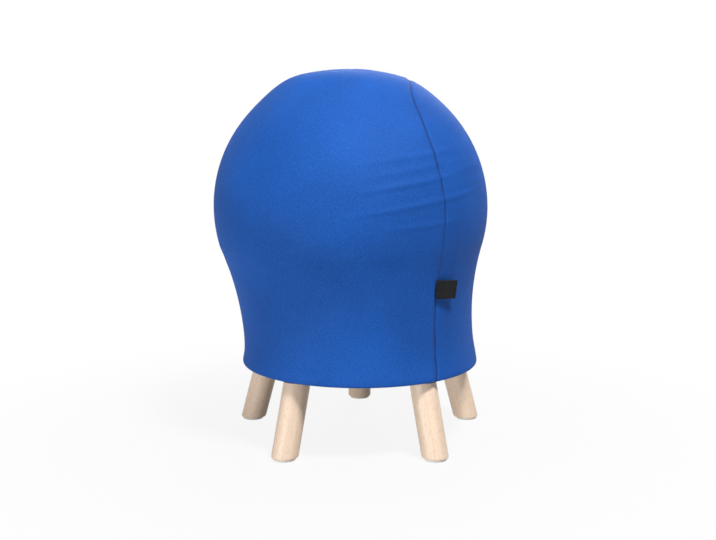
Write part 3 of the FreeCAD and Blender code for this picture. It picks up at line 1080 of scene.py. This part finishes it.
def make_ball(settings):
    """The ball, slightly flattened where it stands on the deck, and the plug in its valve."""
    ball = settings.stool_ball
    columns, rows = 96, 64
    skin_room = 0.0006
    deck_room = 0.0004
    band_height, band_width = 0.0006, 0.012
    rib_depth, rib_end = 0.0005, 1.1
    waist_height, waist_width = 0.290, 0.048
    most_room = 0.2
    points = []
    for row in range(1, rows):
        rise = math.pi * (row / rows - 0.5)
        band = band_height * math.exp(-((rise / band_width) ** 2))
        rib = rib_depth * (0.5 + 0.5 * math.cos(rise * 60.0)) if abs(rise) < rib_end else 0.0
        radius = ball_radius - skin_room + band - rib
        height = ball_centre_height + radius * math.sin(rise)
        room = ball.side_room + ball.waist_room * math.exp(-(((height - waist_height) / waist_width) ** 2))
        level = radius * math.cos(rise)
        middle = Vector((0.0, 0.0, max(height, ball_bottom + deck_room)))
        level -= min(room, most_room * level)
        points += [middle + heading(2.0 * math.pi * step / columns) * level for step in range(columns)]
    faces = ring_faces(columns, rows - 1)
    faces.append(tuple(range(columns))[::-1])
    faces += fan_faces(columns, (rows - 2) * columns, len(points))
    points.append(Vector((0.0, 0.0, ball_top - skin_room)))
    mesh = mesh_from("ball", points, faces)
    turn_faces_out(mesh)
    mesh.materials.append(moulded_finish("ball_skin", colour(ball.vinyl), 0.42, 0.12, 900.0))
    made = new_object("ball", mesh)
    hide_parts("seat_ball")
    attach(made, "seat")
    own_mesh(made)
    make_plug(settings)


def make_plug(settings):
    """The valve plug: a stem, a flat head with a rounded edge and a small grip dimple."""
    elevation = math.radians(-48.0)
    off_skin = 0.0001
    sides = 40
    # Radius and distance along the plug's axis, from the end of its stem to the dimple
    outline = (
        (0.0, -0.0120), (0.0032, -0.0120), (0.0034, -0.0117), (0.0040, 0.0), (0.0060, 0.0), (0.0064, 0.0003),
        (0.0065, 0.0008), (0.0064, 0.0013), (0.0060, 0.0016), (0.0030, 0.0016), (0.0026, 0.0012), (0.0, 0.0011),
    )
    outward = heading(math.pi) * math.cos(elevation) + Vector((0.0, 0.0, math.sin(elevation)))
    seat = Vector((0.0, 0.0, ball_centre_height)) + outward * (ball_radius + off_skin)
    side = outward.orthogonal().normalized()
    other = outward.cross(side)
    points = [seat + outward * outline[0][1]]
    for radius, along in outline[1:-1]:
        points += round_points(seat + outward * along, side, other, radius, sides)
    points.append(seat + outward * outline[-1][1])
    ring_count = len(outline) - 2
    faces = [tuple(corner + 1 for corner in face) for face in ring_faces(sides, ring_count)]
    faces += fan_faces(sides, 1, 0) + fan_faces(sides, 1 + (ring_count - 1) * sides, len(points) - 1)
    mesh = mesh_from("ball_plug", points, faces)
    mesh.shade_flat()
    turn_faces_out(mesh)
    mesh.materials.append(moulded_finish("valve_plastic", colour(settings.stool_ball.plug), 0.4, 0.15))
    made = new_object("ball_plug", mesh)
    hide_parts("valve_plug")
    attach(made, "seat")
    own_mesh(made)


def dress_base(settings):
    """Finishes for the moulded base, its glides and its fittings."""
    base = settings.stool_base
    steel = metal_finish("steel", (0.56, 0.57, 0.58, 1.0), 0.34, 0.2)
    finishes = {
        "base_shell": moulded_finish("base_plastic", colour(base.plastic), 0.55, 0.35, 1500.0),
        "glides": moulded_finish("glide_plastic", colour(base.glide), 0.5, 0.2),
        "hanger_bolts": steel,
        "glide_nails": steel,
        "threaded_inserts": metal_finish("brass", (0.72, 0.53, 0.24, 1.0), 0.32, 1.0),
        "hem_elastic": elastic_finish(),
    }
    for node, material in finishes.items():
        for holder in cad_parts[node].material_slots:
            holder.material = material


def make_floor():
    """A pale floor that keeps the shadow and looks white, a little less so close to the stool."""
    floor_reach = 30.0
    below_feet = 0.0005
    work = bmesh.new()
    bmesh.ops.create_grid(work, x_segments=4, y_segments=4, size=floor_reach)
    bmesh.ops.translate(work, verts=work.verts, vec=(0.0, 0.0, -below_feet))
    mesh = bpy.data.meshes.new("floor")
    work.to_mesh(mesh)
    work.free()
    finish = Finish("floor_white", 0.9)
    mottle = finish.noise(finish.place(), 30.0, 2.0)
    shade = finish.blend(mottle, (0.54, 0.54, 0.54, 1.0), (0.57, 0.57, 0.57, 1.0))
    glow = finish.node("ShaderNodeEmission", Color=(1.0, 1.0, 1.0, 1.0), Strength=1.0)
    far = finish.node("ShaderNodeVectorMath", {"operation": "LENGTH"}, i0=finish.place()).outputs["Value"]
    share = finish.sum("MULTIPLY", finish.looked_at(), finish.spread(far, 0.25, 0.8, 0.90, 1.0))
    both = finish.node("ShaderNodeMixShader", i0=share, i1=finish.shader.outputs[0], i2=glow.outputs[0])
    finish.put(finish.tree.nodes["Material Output"].inputs["Surface"], both.outputs[0])
    mesh.materials.append(finish.done(Base_Color=shade))
    new_object("floor", mesh)


def make_surroundings(strength):
    """White surroundings that give only a little light."""
    world = bpy.data.worlds.new("studio")
    bpy.context.scene.world = world
    world.use_nodes = True
    maker = NodeMaker(world.node_tree)
    sky = world.node_tree.nodes["Background"]
    sky.inputs["Color"].default_value = (1.0, 1.0, 1.0, 1.0)
    level = maker.node("ShaderNodeMapRange", Value=maker.looked_at(), To_Min=strength, To_Max=1.0)
    maker.put(sky.inputs["Strength"], level.outputs[0])


def make_stage(settings):
    """The floor, the surroundings, three soft lamps and the camera."""
    stage = settings.stool_stage
    scene = bpy.context.scene
    make_floor()
    make_surroundings(stage.sky)

    # Each lamp shines on the stool's middle: direction, distance, diameter, power
    target = Vector((0.0, 0.0, 0.36))
    lamps = (
        ("key_lamp", Vector((0.27, -0.45, 0.85)), 2.6, 0.6, stage.key_power),
        ("fill_lamp", Vector((-0.66, -0.74, -0.08)), 2.8, 0.5, stage.fill_power),
        ("back_lamp", Vector((0.15, 0.90, 0.40)), 3.0, 1.6, stage.back_power),
    )
    for name, direction, distance, size, power in lamps:
        data = bpy.data.lights.new(name, "AREA")
        data.shape = "DISK"
        data.size = size
        data.energy = power
        lamp = new_object(name, data)
        lamp.location = target + direction.normalized() * distance
        lamp.rotation_euler = (target - lamp.location).to_track_quat("-Z", "Y").to_euler()

    # The camera stands where the fit to the photo's outline puts it, eight degrees down
    data = bpy.data.cameras.new("photo_camera")
    data.lens = stage.lens
    data.sensor_width = 36.0
    camera = new_object("photo_camera", data)
    camera.location = (0.0122, -1.5824, 0.4934)
    camera.rotation_euler = (math.radians(82.06), 0.0, 0.0)
    scene.camera = camera
    scene.view_settings.view_transform = "Standard"


# Operators and panel


class STOOL_OT_cover(bpy.types.Operator):
    """Make the knit cover and the thread in its seam"""

    bl_idname = "stool.make_cover"
    bl_label = "Knit cover"

    def execute(self, context):
        seam = make_cover(context.scene)
        lay_stitches(context.scene, seam)
        return {"FINISHED"}


class STOOL_OT_label(bpy.types.Operator):
    """Make the woven label in the seam"""

    bl_idname = "stool.make_label"
    bl_label = "Label"

    def execute(self, context):
        make_label(context.scene)
        return {"FINISHED"}


class STOOL_OT_ball(bpy.types.Operator):
    """Make the ball and its valve plug"""

    bl_idname = "stool.make_ball"
    bl_label = "Ball"

    def execute(self, context):
        make_ball(context.scene)
        return {"FINISHED"}


class STOOL_OT_legs(bpy.types.Operator):
    """Make the beech legs"""

    bl_idname = "stool.make_legs"
    bl_label = "Legs"

    def execute(self, context):
        make_legs(context.scene)
        return {"FINISHED"}


class STOOL_OT_base(bpy.types.Operator):
    """Give the base, its glides and its fittings their finishes"""

    bl_idname = "stool.dress_base"
    bl_label = "Base and fittings"

    def execute(self, context):
        dress_base(context.scene)
        return {"FINISHED"}


class STOOL_OT_stage(bpy.types.Operator):
    """Make the floor, the lamps and the camera"""

    bl_idname = "stool.make_stage"
    bl_label = "Floor, light and camera"

    def execute(self, context):
        make_stage(context.scene)
        return {"FINISHED"}


class STOOL_PT_pieces(bpy.types.Panel):
    """Lists the stool's pieces with their sizes and colours"""

    bl_idname = "STOOL_PT_pieces"
    bl_label = "Ball stool"
    bl_space_type = "VIEW_3D"
    bl_region_type = "UI"
    bl_category = "Ball stool"

    def draw(self, context):
        for (name, group), operator in zip(settings_groups.items(), panel_operators):
            box = self.layout.box()
            box.operator(operator.bl_idname)
            for prop in group.__annotations__:
                box.prop(getattr(context.scene, name), prop)


panel_operators = (STOOL_OT_cover, STOOL_OT_legs, STOOL_OT_label, STOOL_OT_ball, STOOL_OT_base, STOOL_OT_stage)
classes = tuple(settings_groups.values()) + panel_operators + (STOOL_PT_pieces,)


def register():
    """Add the stool's settings, operators and panel."""
    for made in classes:
        bpy.utils.register_class(made)
    for name, group in settings_groups.items():
        setattr(bpy.types.Scene, name, PointerProperty(type=group))


def unregister():
    """Take them away again."""
    for name in settings_groups:
        delattr(bpy.types.Scene, name)
    for made in reversed(classes):
        bpy.utils.unregister_class(made)


def main():
    """Make every piece."""
    register()
    bpy.ops.stool.make_stage()
    bpy.ops.stool.make_ball()
    bpy.ops.stool.make_cover()
    bpy.ops.stool.make_label()
    bpy.ops.stool.make_legs()
    bpy.ops.stool.dress_base()


if __name__ == "__main__":
    main()
